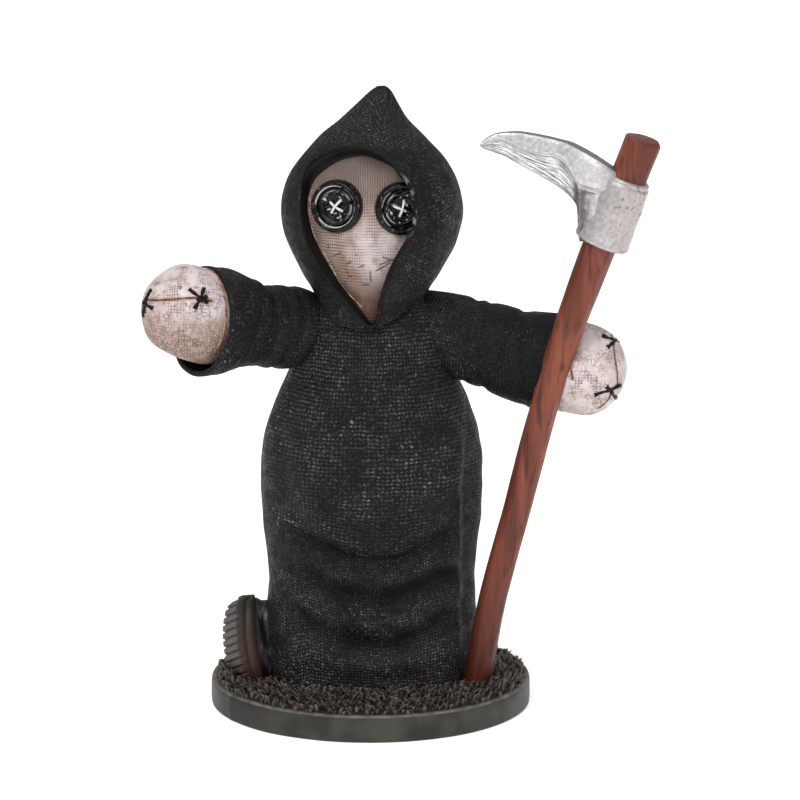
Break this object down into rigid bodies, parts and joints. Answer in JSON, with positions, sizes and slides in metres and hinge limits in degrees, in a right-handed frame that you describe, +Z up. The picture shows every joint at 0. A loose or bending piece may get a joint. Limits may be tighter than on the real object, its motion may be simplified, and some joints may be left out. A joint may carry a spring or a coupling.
{
  "type": "grim reaper figurine",
  "caption": "Small painted resin doll in a hooded burlap robe with button eyes and stitched stump hands, standing on a round turf base with a scythe at its side.",
  "frame": {"origin": "middle of the round base's flat underside", "axes": "+Z up through the doll, -Y out of the doll's front, +X to the viewer's right where the scythe stands"},
  "size_m": [0.0882, 0.0564, 0.1098],
  "materials": {
    "robe_black": "black paint over cast burlap relief, grey on the thread tops",
    "scythe_wood": "red-brown paint over cast wood grain, satin",
    "face_cloth": "beige paint over cast burlap relief, brown wash in the gaps",
    "hand_cloth": "cream paint over cast cloth relief, brown wash in the seams",
    "button_gloss": "gloss black paint",
    "thread_white": "off-white painted thread",
    "thread_black": "black painted stitches, satin",
    "boot_brown": "brown painted sole and dark creased upper",
    "base_green_grey": "dark green-grey paint, edges rubbed pale",
    "turf_brown": "dark brown painted turf with paler tips",
    "scythe_silver": "silver paint"
  },
  "bodies": {
    "root": {"figure_and_base": "robe_black", "scythe": "scythe_wood"}
  },
  "joints": []
}
